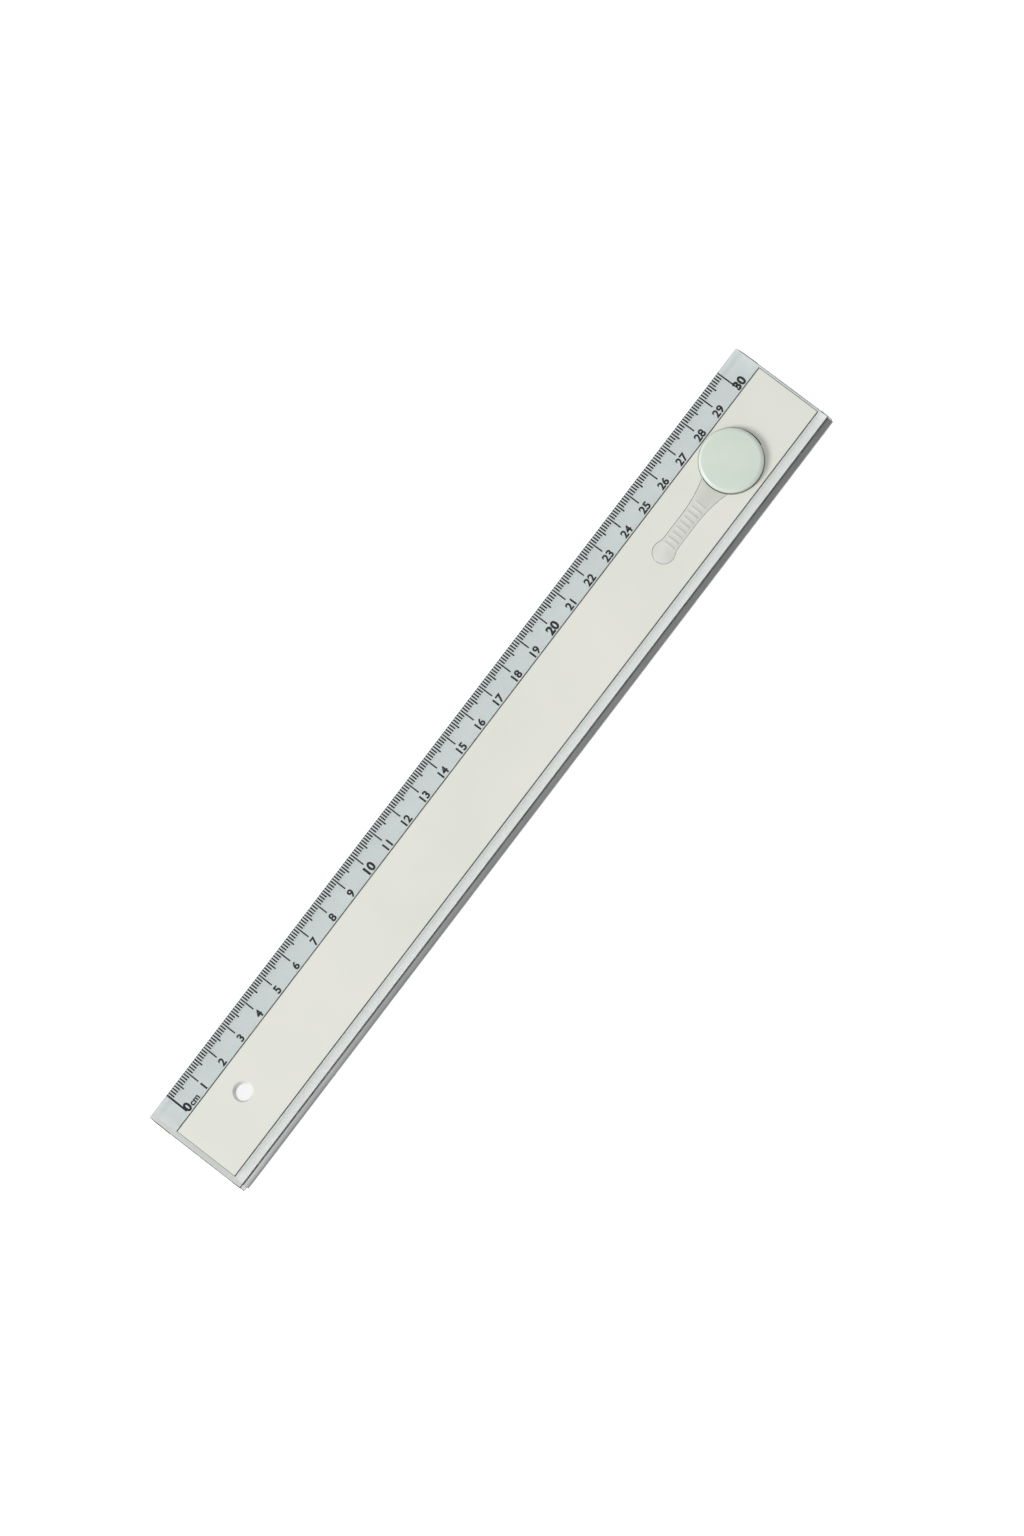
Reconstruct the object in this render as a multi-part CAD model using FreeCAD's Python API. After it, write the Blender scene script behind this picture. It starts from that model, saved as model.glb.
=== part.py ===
"""Sliding rule of a drawing board: a clear rule with a 30 cm scale, guide feet under both ends, and a
push-button brake that locks it in the board's guide grooves.

Frame, in millimetres: X runs along the rule from the zero end to the button end, Y runs across it
towards the scale edge, Z is up. The origin is under the middle of the rule, on the surface it stands on.
The rule stands on the ribs of its two guide feet.
"""

import FreeCAD, Part
import math
import os

from FreeCAD import Vector

# Whole rule
LENGTH = 320.0
WIDTH = 41.0
HALF_LENGTH = LENGTH / 2
HALF_WIDTH = WIDTH / 2
BODY_THICKNESS = 4.0
FOOT_DEPTH = 2.6  # how far the feet reach down into the board's grooves
UNDERSIDE = FOOT_DEPTH
TOP = UNDERSIDE + BODY_THICKNESS
EDGE_BREAK = 0.2
CORNER_RADIUS = 0.8
BOND_GAP = 0.03  # left for adhesive between fixed parts

# Clear body's bevels
SCALE_EDGE_THICKNESS = 1.2
SCALE_BEVEL_TOP_Y = 10.4
INK_BEVEL_TOP_Y = -15.3
INK_BEVEL_FOOT_Y = -18.4
INK_BEVEL_DROP = 1.3

# Steel edge let into the side opposite the scale
STEEL_THICKNESS = 1.4
STEEL_WIDTH = 2.5
STEEL_BOTTOM = UNDERSIDE + 0.9
STEEL_TOP = STEEL_BOTTOM + STEEL_THICKNESS
STEEL_INNER_Y = -HALF_WIDTH + STEEL_WIDTH
STEEL_LEDGE_Y = -19.7
STEEL_ZERO_X = -158.4
STEEL_FAR_X = 159.5
STEEL_BREAK = 0.25

# Opaque face panel, inlaid flush in the body's top
PANEL_THICKNESS = 0.8
PANEL_CENTRE_Y = -2.5
PANEL_WIDTH = 24.2
PANEL_ZERO_X = -157.7
PANEL_FAR_X = 159.0
PANEL_SIDE_GAP = 0.4
PANEL_END_GAP = 0.15
PANEL_BREAK = 0.1
PANEL_BOTTOM = TOP - PANEL_THICKNESS
RECESS_FLOOR = PANEL_BOTTOM - BOND_GAP

# Hole to hang the rule up by
HANG_X = -134.0
HANG_Y = 0.2
HANG_RADIUS = 3.0
HANG_CHAMFER = 0.6

# Brake lever: a paddle with its pivot in the tail and the button on its round end
AXIS_OFFSET = 0.15  # the lever's axis stands this far from the panel's centre line
AXIS_Y = PANEL_CENTRE_Y + AXIS_OFFSET
BUTTON_X = 129.0
BUTTON_OFFSET = 0.5  # the button stands this far from the lever's axis, towards the scale
BUTTON_Y = AXIS_Y + BUTTON_OFFSET
TAIL_X = 91.5
LEVER_REACH = BUTTON_X - TAIL_X
PRESS_AT_BUTTON = 0.9
PRESS_ANGLE = math.degrees(PRESS_AT_BUTTON / LEVER_REACH)
TAIL_RADIUS = 3.85
TAIL_BOTTOM = UNDERSIDE + 1.05
WAIST_HALF = 2.9
NECK_RADIUS = 6.0
FLARE_START = 14.0
FLARE_RADIUS = 45.8
FLARE_END = 29.0
ARM_BOTTOM = UNDERSIDE + 2.0
ARM_TOP = TOP - 0.1
SEAT_RADIUS = 11.0
SEAT_BOTTOM = UNDERSIDE + 2.88
SEAT_TOP = UNDERSIDE + 3.25
BOSS_RADIUS = 10.0
STUB_RADIUS = 5.0
STUB_TOP = ARM_TOP + 1.5
STOP_TAB_X = 10.5
STOP_TAB_LENGTH = 4.0
STOP_TAB_HALF = 5.2
STOP_TAB_TOP = PANEL_BOTTOM - 0.12
GRIP_RIB_COUNT = 9
GRIP_RIB_PITCH = 2.1
GRIP_RIB_START = 2.4
GRIP_RIB_WIDTH = 0.8
GRIP_RIB_HALF = 2.0
GRIP_RIB_HEIGHT = 0.12
PADDLE_GAP = 0.12  # between the lever and the panel's opening
BUTTON_OPENING = 11.2

# Pivot pin
PIN_RADIUS = 0.75
PIN_Z = UNDERSIDE + 2.35
PIN_HALF = 5.4
PIN_BORE = PIN_RADIUS + 0.04

# Button cap
CAP_RADIUS = 10.85
CAP_SKIRT_INNER = BOSS_RADIUS + 0.1
CAP_SOCKET_OUTER = 6.2
CAP_TOP = TOP + 2.6
CAP_SHOULDER_HEIGHT = 1.35
CAP_FLAT_RADIUS = 9.6

# Wedge under the button, and the brake slider that it draws back
POCKET_FLOOR = UNDERSIDE + 0.5
SLIDER_BOTTOM = POCKET_FLOOR + 0.05
SLIDER_THIN_TOP = UNDERSIDE + 1.6
SLIDER_THICK_TOP = RECESS_FLOOR - 0.3
SLIDER_HALF = 3.5
SLIDER_INNER_X = 122.0
SLIDER_STEP_X = 142.4
SLIDER_OUTER_X = 156.8
WEDGE_TOP_X = 126.0
WEDGE_WINDOW_X = 133.5
WEDGE_WINDOW_HALF = 2.4
WEDGE_TIP_Z = SLIDER_THIN_TOP - 0.05
WEDGE_CLEARANCE = 0.1
WEDGE_TIP_X = WEDGE_TOP_X + SLIDER_THIN_TOP - WEDGE_TIP_Z + WEDGE_CLEARANCE
WEDGE_BACK_X = 130.5
WEDGE_HALF = 2.0
WEDGE_FACE = 1.15
SLIDE_RATIO = WEDGE_TIP_X - TAIL_X  # slider travel per radian of lever, at 45 degrees
SLIDE_TRAVEL = SLIDE_RATIO * math.radians(PRESS_ANGLE)
JAW_INNER_X = 155.0
JAW_BOTTOM = 0.3
PAD_THICKNESS = 0.8
PAD_BOTTOM = 0.5
PAD_TOP = UNDERSIDE - 0.2
PAD_HALF = 3.1

# Brake spring, between a post of the body and the slider
POST_INNER_X = 142.0
POST_OUTER_X = 143.6
POST_HALF = 1.1
SPRING_WINDOW_INNER_X = 141.5
SPRING_WINDOW_OUTER_X = 150.4
SPRING_WINDOW_HALF = 1.35
SPRING_RADIUS = 0.85
SPRING_WIRE_RADIUS = 0.15
SPRING_Z = UNDERSIDE + 1.75
SPRING_TURNS = 8

# Pockets of the body, under the panel
CHANNEL_HALF = SLIDER_HALF + 0.15
CHANNEL_INNER_X = SLIDER_INNER_X - SLIDE_TRAVEL - 0.5
CHANNEL_OUTER_X = SLIDER_OUTER_X + 0.3
BUTTON_POCKET_FLOOR = UNDERSIDE + 1.5
ARM_POCKET_FLOOR = UNDERSIDE + 0.8
ARM_POCKET_GAP = 0.5

# Guide feet, each held by two screws
RIB_WIDTH = 4.0
RIB_HALF = 10.0
RIB_BREAK = 0.4
RIB_TOP = UNDERSIDE - BOND_GAP
RIB_END_RADIUS = 1.7
ZERO_RIB_OUTER_X = -157.6
BRAKE_RIB_OUTER_X = 153.8
SCREW_OFFSET_Y = 7.6
SCREW_HEAD_RADIUS = 1.3
SCREW_HEAD_BOTTOM = 0.35
SCREW_HEAD_HEIGHT = 0.9
SCREW_RADIUS = 0.75
SCREW_HOLE = SCREW_RADIUS + 0.03
SCREW_TOP = RECESS_FLOOR - 0.4
SCREW_COUNTERBORE = 1.4
SCREW_SLOT_WIDTH = 0.4
SCREW_SLOT_DEPTH = 0.4

# Glide pads that keep the rule off the sheet
GLIDE_RADIUS = 3.0
GLIDE_THICKNESS = 0.5
GLIDE_PROUD = 0.2
GLIDE_X = (-112.0, -38.0, 36.0, 76.0)


def block(x0, x1, y0, y1, z0, z1):
    """A box between two corners."""
    return Part.makeBox(x1 - x0, y1 - y0, z1 - z0, Vector(x0, y0, z0))


def on_axis(x0, x1, half, z0, z1):
    """A box of that half width about the lever's axis."""
    return block(x0, x1, AXIS_Y - half, AXIS_Y + half, z0, z1)


def disc(x, y, radius, z0, z1):
    """An upright cylinder."""
    return Part.makeCylinder(radius, z1 - z0, Vector(x, y, z0))


def polygon(points):
    """A flat face from its corners."""
    return Part.Face(Part.makePolygon([*points, points[0]]))


def across(outline, y0, y1):
    """A prism along Y from an (x, z) outline."""
    face = polygon([Vector(x, y0, z) for x, z in outline])
    return face.extrude(Vector(0, y1 - y0, 0))


def along(outline, x0, x1):
    """A prism along X from a (y, z) outline."""
    face = polygon([Vector(x0, y, z) for y, z in outline])
    return face.extrude(Vector(x1 - x0, 0, 0))


def rounded_plate(x0, x1, y0, y1, z0, z1, radius):
    """A plate with its four upright edges rounded."""
    plate = block(x0, x1, y0, y1, z0, z1)
    upright = [e for e in plate.Edges if abs(e.tangentAt(e.FirstParameter).z) > 0.99]
    return plate.makeFillet(radius, upright)


def chamfer_top(shape, z, size):
    """Breaks every edge that lies flat at height z."""
    flat = [e for e in shape.Edges if abs(e.BoundBox.ZMin - z) < 1e-4 and abs(e.BoundBox.ZMax - z) < 1e-4]
    return shape.makeChamfer(size, flat)


def paddle_face(grow, z):
    """The lever's outline from its tail to under the button, made larger by grow."""
    tail = TAIL_RADIUS + grow
    waist = WAIST_HALF + grow
    neck = NECK_RADIUS - grow
    flare = FLARE_RADIUS - grow
    neck_x = math.sqrt((tail + neck) ** 2 - (waist + neck) ** 2)
    touch = Vector(neck_x, waist + neck, 0) * (tail / (tail + neck))
    flare_end = FLARE_END + grow
    flare_half = waist + flare - math.sqrt(flare**2 - (flare_end - FLARE_START) ** 2)
    neck_angle = (math.atan2(touch.y - waist - neck, touch.x - neck_x) - math.pi / 2) / 2
    flare_angle = math.asin((flare_end - FLARE_START) / flare) / 2

    def at(x, y):
        return Vector(TAIL_X + x, AXIS_Y + y, z)

    def side(sign):
        neck_middle = at(
            neck_x + neck * math.cos(neck_angle),
            sign * (waist + neck + neck * math.sin(neck_angle)),
        )
        flare_middle = at(
            FLARE_START + flare * math.sin(flare_angle),
            sign * (waist + flare - flare * math.cos(flare_angle)),
        )
        tail_middle = at(-tail * math.sqrt(0.5), sign * tail * math.sqrt(0.5))
        return [
            Part.Arc(at(-tail, 0), tail_middle, at(touch.x, sign * touch.y)),
            Part.Arc(at(touch.x, sign * touch.y), neck_middle, at(neck_x, sign * waist)),
            Part.LineSegment(at(neck_x, sign * waist), at(FLARE_START, sign * waist)),
            Part.Arc(at(FLARE_START, sign * waist), flare_middle, at(flare_end, sign * flare_half)),
        ]

    end = Part.LineSegment(at(flare_end, flare_half), at(flare_end, -flare_half))
    edges = [c.toShape() for c in (*side(1), end, *side(-1))]
    return Part.Face(Part.Wire(Part.__sortEdges__(edges)))


def paddle(grow, z0, z1):
    """The paddle outline as a plate."""
    return paddle_face(grow, z0).extrude(Vector(0, 0, z1 - z0))


def lay_across(x, z, radius, y0, y1):
    """A cylinder along Y."""
    return Part.makeCylinder(radius, y1 - y0, Vector(x, y0, z), Vector(0, 1, 0))


def screw_places():
    """The x and y of each foot screw, numbered from the zero end."""
    zero_x = ZERO_RIB_OUTER_X + RIB_WIDTH / 2
    brake_x = BRAKE_RIB_OUTER_X - RIB_WIDTH / 2
    return [(foot_x, AXIS_Y + side * SCREW_OFFSET_Y) for foot_x in (zero_x, brake_x) for side in (-1, 1)]


def glide_pad(x):
    """Round slip pad let into the underside."""
    bottom = UNDERSIDE - GLIDE_PROUD
    pad = disc(x, AXIS_Y, GLIDE_RADIUS, bottom, bottom + GLIDE_THICKNESS)
    rim = [e for e in pad.Edges if abs(e.BoundBox.ZMax - bottom) < 1e-4]
    return pad.makeFillet(0.12, rim)


def rule_body():
    """Clear moulded body: bevelled scale edge, slot for the steel edge, recess for the panel, and the
    brake's pockets, which the panel closes."""
    scale_top = UNDERSIDE + SCALE_EDGE_THICKNESS
    profile = [
        (HALF_WIDTH, UNDERSIDE + EDGE_BREAK),
        (HALF_WIDTH, scale_top - EDGE_BREAK),
        (HALF_WIDTH - EDGE_BREAK, scale_top),
        (SCALE_BEVEL_TOP_Y, TOP),
        (INK_BEVEL_TOP_Y, TOP),
        (INK_BEVEL_FOOT_Y, TOP - INK_BEVEL_DROP),
        (INK_BEVEL_FOOT_Y, STEEL_TOP + BOND_GAP),
        (STEEL_INNER_Y + BOND_GAP, STEEL_TOP + BOND_GAP),
        (STEEL_INNER_Y + BOND_GAP, STEEL_BOTTOM - BOND_GAP),
        (STEEL_LEDGE_Y, STEEL_BOTTOM - BOND_GAP),
        (STEEL_LEDGE_Y, UNDERSIDE + EDGE_BREAK),
        (STEEL_LEDGE_Y + EDGE_BREAK, UNDERSIDE),
        (HALF_WIDTH - EDGE_BREAK, UNDERSIDE),
    ]
    end = [
        (-HALF_LENGTH, UNDERSIDE + EDGE_BREAK),
        (-HALF_LENGTH, TOP - EDGE_BREAK),
        (-HALF_LENGTH + EDGE_BREAK, TOP),
        (HALF_LENGTH - EDGE_BREAK, TOP),
        (HALF_LENGTH, TOP - EDGE_BREAK),
        (HALF_LENGTH, UNDERSIDE + EDGE_BREAK),
        (HALF_LENGTH - EDGE_BREAK, UNDERSIDE),
        (-HALF_LENGTH + EDGE_BREAK, UNDERSIDE),
    ]
    outline = rounded_plate(
        -HALF_LENGTH, HALF_LENGTH, -HALF_WIDTH, HALF_WIDTH, UNDERSIDE, TOP, CORNER_RADIUS
    )
    body = along(profile, -HALF_LENGTH, HALF_LENGTH)
    body = body.common(across(end, -HALF_WIDTH, HALF_WIDTH)).common(outline)
    half = PANEL_WIDTH / 2 + PANEL_SIDE_GAP
    recess = block(
        PANEL_ZERO_X - PANEL_END_GAP,
        PANEL_FAR_X + PANEL_END_GAP,
        PANEL_CENTRE_Y - half,
        PANEL_CENTRE_Y + half,
        RECESS_FLOOR,
        TOP + 1,
    )
    hang = disc(HANG_X, HANG_Y, HANG_RADIUS, UNDERSIDE - 1, TOP)
    tabs = on_axis(
        TAIL_X + STOP_TAB_X - 0.4,
        TAIL_X + STOP_TAB_X + STOP_TAB_LENGTH + 0.4,
        STOP_TAB_HALF + 0.4,
        ARM_POCKET_FLOOR,
        TOP,
    )
    channel = on_axis(CHANNEL_INNER_X, CHANNEL_OUTER_X, CHANNEL_HALF, POCKET_FLOOR, TOP)
    post = on_axis(POST_INNER_X, POST_OUTER_X, POST_HALF, POCKET_FLOOR, RECESS_FLOOR - 0.1)
    jaw_slot = on_axis(BRAKE_RIB_OUTER_X, SLIDER_OUTER_X + 0.2, CHANNEL_HALF, UNDERSIDE - 1, POCKET_FLOOR)
    groove = PIN_RADIUS + BOND_GAP
    groove_half = PIN_HALF + BOND_GAP
    pin_groove = lay_across(TAIL_X, PIN_Z, groove, AXIS_Y - groove_half, AXIS_Y + groove_half)
    pin_way = on_axis(TAIL_X - groove, TAIL_X + groove, groove_half, PIN_Z, TOP)
    pockets = [
        recess,
        hang,
        paddle(ARM_POCKET_GAP, ARM_POCKET_FLOOR, TOP),
        tabs,
        disc(BUTTON_X, BUTTON_Y, BUTTON_OPENING, BUTTON_POCKET_FLOOR, TOP),
        channel.cut(post),
        jaw_slot,
        pin_groove,
        pin_way,
    ]
    holes = [disc(x, y, SCREW_HOLE, UNDERSIDE - 1, SCREW_TOP + BOND_GAP) for x, y in screw_places()]
    seat_top = UNDERSIDE - GLIDE_PROUD + GLIDE_THICKNESS + BOND_GAP
    seats = [disc(x, AXIS_Y, GLIDE_RADIUS + BOND_GAP, UNDERSIDE - 1, seat_top) for x in GLIDE_X]
    return body.cut([*pockets, *holes, *seats]).removeSplitter()


def face_panel():
    """Opaque panel with the openings for the button, the lever's arm and the hanging hole."""
    half = PANEL_WIDTH / 2
    panel = block(
        PANEL_ZERO_X, PANEL_FAR_X, PANEL_CENTRE_Y - half, PANEL_CENTRE_Y + half, PANEL_BOTTOM, TOP
    )
    openings = [
        disc(BUTTON_X, BUTTON_Y, BUTTON_OPENING, RECESS_FLOOR - 1, TOP + 1),
        paddle(PADDLE_GAP, RECESS_FLOOR - 1, TOP + 1),
    ]
    panel = chamfer_top(panel.cut(openings), TOP, PANEL_BREAK)
    hang = disc(HANG_X, HANG_Y, HANG_RADIUS, RECESS_FLOOR - 1, TOP + 1)
    sink = HANG_CHAMFER + 1
    foot = Vector(HANG_X, HANG_Y, TOP - HANG_CHAMFER)
    chamfer = Part.makeCone(HANG_RADIUS, HANG_RADIUS + sink, sink, foot)
    return panel.cut([hang, chamfer])


def steel_edge():
    """Strip that guides the pen or the knife, with its free edges broken."""
    profile = [
        (-HALF_WIDTH, STEEL_BOTTOM + STEEL_BREAK),
        (-HALF_WIDTH, STEEL_TOP - STEEL_BREAK),
        (-HALF_WIDTH + STEEL_BREAK, STEEL_TOP),
        (STEEL_INNER_Y, STEEL_TOP),
        (STEEL_INNER_Y, STEEL_BOTTOM),
        (-HALF_WIDTH + STEEL_BREAK, STEEL_BOTTOM),
    ]
    return along(profile, STEEL_ZERO_X, STEEL_FAR_X)


def brake_lever():
    """Paddle lever: pivot bore in the tail, stop tabs that stay under the panel, a round seat and boss
    for the button, a groove round the button, and the wedge that draws the slider back."""
    arm = paddle(0, ARM_BOTTOM, ARM_TOP)
    arm = arm.cut(disc(BUTTON_X, BUTTON_Y, BUTTON_OPENING, SEAT_TOP, TOP))
    tail = disc(TAIL_X, AXIS_Y, TAIL_RADIUS, TAIL_BOTTOM, ARM_TOP)
    seat = disc(BUTTON_X, BUTTON_Y, SEAT_RADIUS, SEAT_BOTTOM, SEAT_TOP)
    boss = disc(BUTTON_X, BUTTON_Y, BOSS_RADIUS, SEAT_TOP, ARM_TOP)
    stub = disc(BUTTON_X, BUTTON_Y, STUB_RADIUS, ARM_TOP, STUB_TOP)
    tabs = on_axis(
        TAIL_X + STOP_TAB_X,
        TAIL_X + STOP_TAB_X + STOP_TAB_LENGTH,
        STOP_TAB_HALF,
        ARM_BOTTOM,
        STOP_TAB_TOP,
    )
    wedge_outline = [
        (WEDGE_TIP_X, WEDGE_TIP_Z),
        (WEDGE_BACK_X, WEDGE_TIP_Z),
        (WEDGE_BACK_X, SEAT_BOTTOM + 0.5),
        (WEDGE_TIP_X - WEDGE_FACE, SEAT_BOTTOM + 0.5),
        (WEDGE_TIP_X - WEDGE_FACE, WEDGE_TIP_Z + WEDGE_FACE),
    ]
    wedge = across(wedge_outline, AXIS_Y - WEDGE_HALF, AXIS_Y + WEDGE_HALF)
    ribs = []
    for i in range(GRIP_RIB_COUNT):
        x = TAIL_X + GRIP_RIB_START + i * GRIP_RIB_PITCH
        ribs.append(on_axis(x, x + GRIP_RIB_WIDTH, GRIP_RIB_HALF, ARM_TOP - 0.2, ARM_TOP + GRIP_RIB_HEIGHT))
    bore = lay_across(TAIL_X, PIN_Z, PIN_BORE, AXIS_Y - WIDTH, AXIS_Y + WIDTH)
    lever = arm.fuse([tail, seat, boss, stub, tabs, wedge, *ribs])
    return lever.cut(bore).removeSplitter()


def button_cap():
    """Round cap with a flat top, a rounded shoulder and a skirt round the lever's boss. It's pressed on
    the lever's stub and rests on its seat."""
    edge_z = CAP_TOP - CAP_SHOULDER_HEIGHT
    shoulder = CAP_RADIUS - CAP_FLAT_RADIUS

    def at(radius, z):
        return Vector(BUTTON_X + radius, BUTTON_Y, z)

    slope = math.sqrt(0.5)
    middle = at(CAP_FLAT_RADIUS + shoulder * slope, edge_z + CAP_SHOULDER_HEIGHT * slope)
    curve = Part.Arc(at(CAP_RADIUS, edge_z), middle, at(CAP_FLAT_RADIUS, CAP_TOP))
    corners = [
        at(CAP_FLAT_RADIUS, CAP_TOP),
        at(0, CAP_TOP),
        at(0, STUB_TOP),
        at(STUB_RADIUS, STUB_TOP),
        at(STUB_RADIUS, ARM_TOP),
        at(CAP_SOCKET_OUTER, ARM_TOP),
        at(CAP_SOCKET_OUTER, STUB_TOP),
        at(CAP_SKIRT_INNER, STUB_TOP),
        at(CAP_SKIRT_INNER, SEAT_TOP),
        at(CAP_RADIUS, SEAT_TOP),
        at(CAP_RADIUS, edge_z),
    ]
    edges = [Part.LineSegment(a, b).toShape() for a, b in zip(corners, corners[1:])]
    wire = Part.Wire(Part.__sortEdges__([curve.toShape(), *edges]))
    return Part.Face(wire).revolve(Vector(BUTTON_X, BUTTON_Y, 0), Vector(0, 0, 1), 360)


def lever_pin():
    """Pivot pin, lying in a groove of the body under the panel."""
    return lay_across(TAIL_X, PIN_Z, PIN_RADIUS, AXIS_Y - PIN_HALF, AXIS_Y + PIN_HALF)


def brake_slider():
    """Slider with a window for the wedge, a window for the spring, and the jaw that reaches down into
    the board's groove."""
    thin = on_axis(SLIDER_INNER_X, SLIDER_STEP_X, SLIDER_HALF, SLIDER_BOTTOM, SLIDER_THIN_TOP)
    thick = on_axis(SLIDER_STEP_X, SLIDER_OUTER_X, SLIDER_HALF, SLIDER_BOTTOM, SLIDER_THICK_TOP)
    jaw = on_axis(JAW_INNER_X, SLIDER_OUTER_X, SLIDER_HALF, JAW_BOTTOM, SLIDER_BOTTOM)
    ramp = SLIDER_THIN_TOP - SLIDER_BOTTOM
    window_outline = [
        (WEDGE_TOP_X - 1, SLIDER_THIN_TOP + 1),
        (WEDGE_TOP_X + ramp + 1, SLIDER_BOTTOM - 1),
        (WEDGE_WINDOW_X, SLIDER_BOTTOM - 1),
        (WEDGE_WINDOW_X, SLIDER_THIN_TOP + 1),
    ]
    window = across(window_outline, AXIS_Y - WEDGE_WINDOW_HALF, AXIS_Y + WEDGE_WINDOW_HALF)
    spring_window = on_axis(
        SPRING_WINDOW_INNER_X,
        SPRING_WINDOW_OUTER_X,
        SPRING_WINDOW_HALF,
        SLIDER_BOTTOM - 1,
        SLIDER_THICK_TOP + 1,
    )
    return thin.fuse([thick, jaw]).cut([window, spring_window]).removeSplitter()


def brake_pad():
    """Rubber pad on the jaw's outer face."""
    return on_axis(SLIDER_OUTER_X, SLIDER_OUTER_X + PAD_THICKNESS, PAD_HALF, PAD_BOTTOM, PAD_TOP)


def brake_spring():
    """Compression spring that pushes the slider outwards, at its installed length."""
    start = POST_OUTER_X + SPRING_WIRE_RADIUS
    length = SPRING_WINDOW_OUTER_X - POST_OUTER_X - 2 * SPRING_WIRE_RADIUS
    helix = Part.makeHelix(length / SPRING_TURNS, length, SPRING_RADIUS)
    wire_end = Part.Circle(Vector(SPRING_RADIUS, 0, 0), Vector(0, 1, 0), SPRING_WIRE_RADIUS)
    section = Part.Wire(wire_end.toShape())
    spring = Part.Wire(helix.Edges).makePipeShell([section], True, True)
    spring.rotate(Vector(0, 0, 0), Vector(0, 1, 0), 90)
    spring.translate(Vector(start, AXIS_Y, SPRING_Z))
    return spring


def guide_foot(outer_x, towards):
    """Rib that runs in the board's groove, counterbored for its two screws. It reaches from outer_x
    towards the middle of the rule."""
    inner_x = outer_x + towards * RIB_WIDTH
    x0, x1 = sorted((outer_x, inner_x))
    y0, y1 = AXIS_Y - RIB_HALF, AXIS_Y + RIB_HALF
    profile = [
        (x0 + RIB_BREAK, 0),
        (x1 - RIB_BREAK, 0),
        (x1, RIB_BREAK),
        (x1, RIB_TOP),
        (x0, RIB_TOP),
        (x0, RIB_BREAK),
    ]
    rib = across(profile, y0, y1).common(rounded_plate(x0, x1, y0, y1, 0, RIB_TOP, RIB_END_RADIUS))
    seat = SCREW_HEAD_BOTTOM + SCREW_HEAD_HEIGHT
    cuts = []
    for x, y in screw_places():
        if x0 < x < x1:
            cuts.append(disc(x, y, SCREW_COUNTERBORE, -1, seat))
            cuts.append(disc(x, y, SCREW_HOLE, -1, UNDERSIDE + 1))
    return rib.cut(cuts)


def foot_screw(x, y):
    """Slotted cheese-head screw, driven up through the foot into the body."""
    seat = SCREW_HEAD_BOTTOM + SCREW_HEAD_HEIGHT
    head = disc(x, y, SCREW_HEAD_RADIUS, SCREW_HEAD_BOTTOM, seat)
    slot = block(
        x - SCREW_HEAD_RADIUS,
        x + SCREW_HEAD_RADIUS,
        y - SCREW_SLOT_WIDTH / 2,
        y + SCREW_SLOT_WIDTH / 2,
        SCREW_HEAD_BOTTOM,
        SCREW_HEAD_BOTTOM + SCREW_SLOT_DEPTH,
    )
    shank = disc(x, y, SCREW_RADIUS, seat, SCREW_TOP - 0.3)
    tip = Part.makeCone(SCREW_RADIUS, SCREW_RADIUS / 2, 0.3, Vector(x, y, SCREW_TOP - 0.3))
    return head.cut(slot).fuse([shank, tip]).removeSplitter()


def write(name, shape):
    """Checks one sub-part and writes its STEP file."""
    assert shape.isValid() and shape.Solids, name
    assert all(s.isClosed() and s.Volume > 0 for s in shape.Solids), name
    shape.exportStep(os.path.join("parts", name + ".step"))


os.makedirs("parts", exist_ok=True)
write("rule_body", rule_body())
write("face_panel", face_panel())
write("steel_edge", steel_edge())
write("brake_lever", brake_lever())
write("button_cap", button_cap())
write("lever_pin", lever_pin())
write("brake_slider", brake_slider())
write("brake_pad", brake_pad())
write("brake_spring", brake_spring())
write("guide_foot_zero", guide_foot(ZERO_RIB_OUTER_X, 1))
write("guide_foot_brake", guide_foot(BRAKE_RIB_OUTER_X, -1))
for number, (x, y) in enumerate(screw_places(), start=1):
    write(f"foot_screw_{number}", foot_screw(x, y))
for number, x in enumerate(GLIDE_X, start=1):
    write(f"glide_pad_{number}", glide_pad(x))
print(f"press {PRESS_ANGLE:.4f} deg, slide {SLIDE_TRAVEL:.4f} mm, ratio {SLIDE_RATIO / 1000:.5f} m/rad")
print(f"pivot ({TAIL_X}, {AXIS_Y}, {PIN_Z:.2f}), cap top {CAP_TOP:.2f}")
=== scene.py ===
import math

import bmesh
import bpy
from mathutils import Matrix, Vector


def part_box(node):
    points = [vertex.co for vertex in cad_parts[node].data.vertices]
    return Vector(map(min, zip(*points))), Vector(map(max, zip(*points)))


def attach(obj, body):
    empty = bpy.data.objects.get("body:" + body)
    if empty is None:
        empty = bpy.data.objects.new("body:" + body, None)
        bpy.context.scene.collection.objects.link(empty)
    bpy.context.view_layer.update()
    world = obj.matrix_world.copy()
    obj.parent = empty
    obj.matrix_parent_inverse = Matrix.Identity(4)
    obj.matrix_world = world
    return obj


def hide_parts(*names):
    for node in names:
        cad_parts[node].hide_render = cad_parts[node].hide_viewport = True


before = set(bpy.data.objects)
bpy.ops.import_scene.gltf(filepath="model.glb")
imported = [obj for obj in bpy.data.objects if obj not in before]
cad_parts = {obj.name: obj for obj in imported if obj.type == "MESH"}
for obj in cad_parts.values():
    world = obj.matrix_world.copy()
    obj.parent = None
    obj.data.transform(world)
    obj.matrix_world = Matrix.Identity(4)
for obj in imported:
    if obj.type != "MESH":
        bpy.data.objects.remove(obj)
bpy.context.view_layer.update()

mm = 0.001


# ---------------------------------------------------------------------------------------------------
# The clear body: one injection moulding in faintly blue-green polycarbonate, polished on its outside and
# slightly wavy from the mould. Years of sliding have left it scratched and cloudy. Its recess has a
# frosted floor, so that the panel's cement keys to it.


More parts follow.
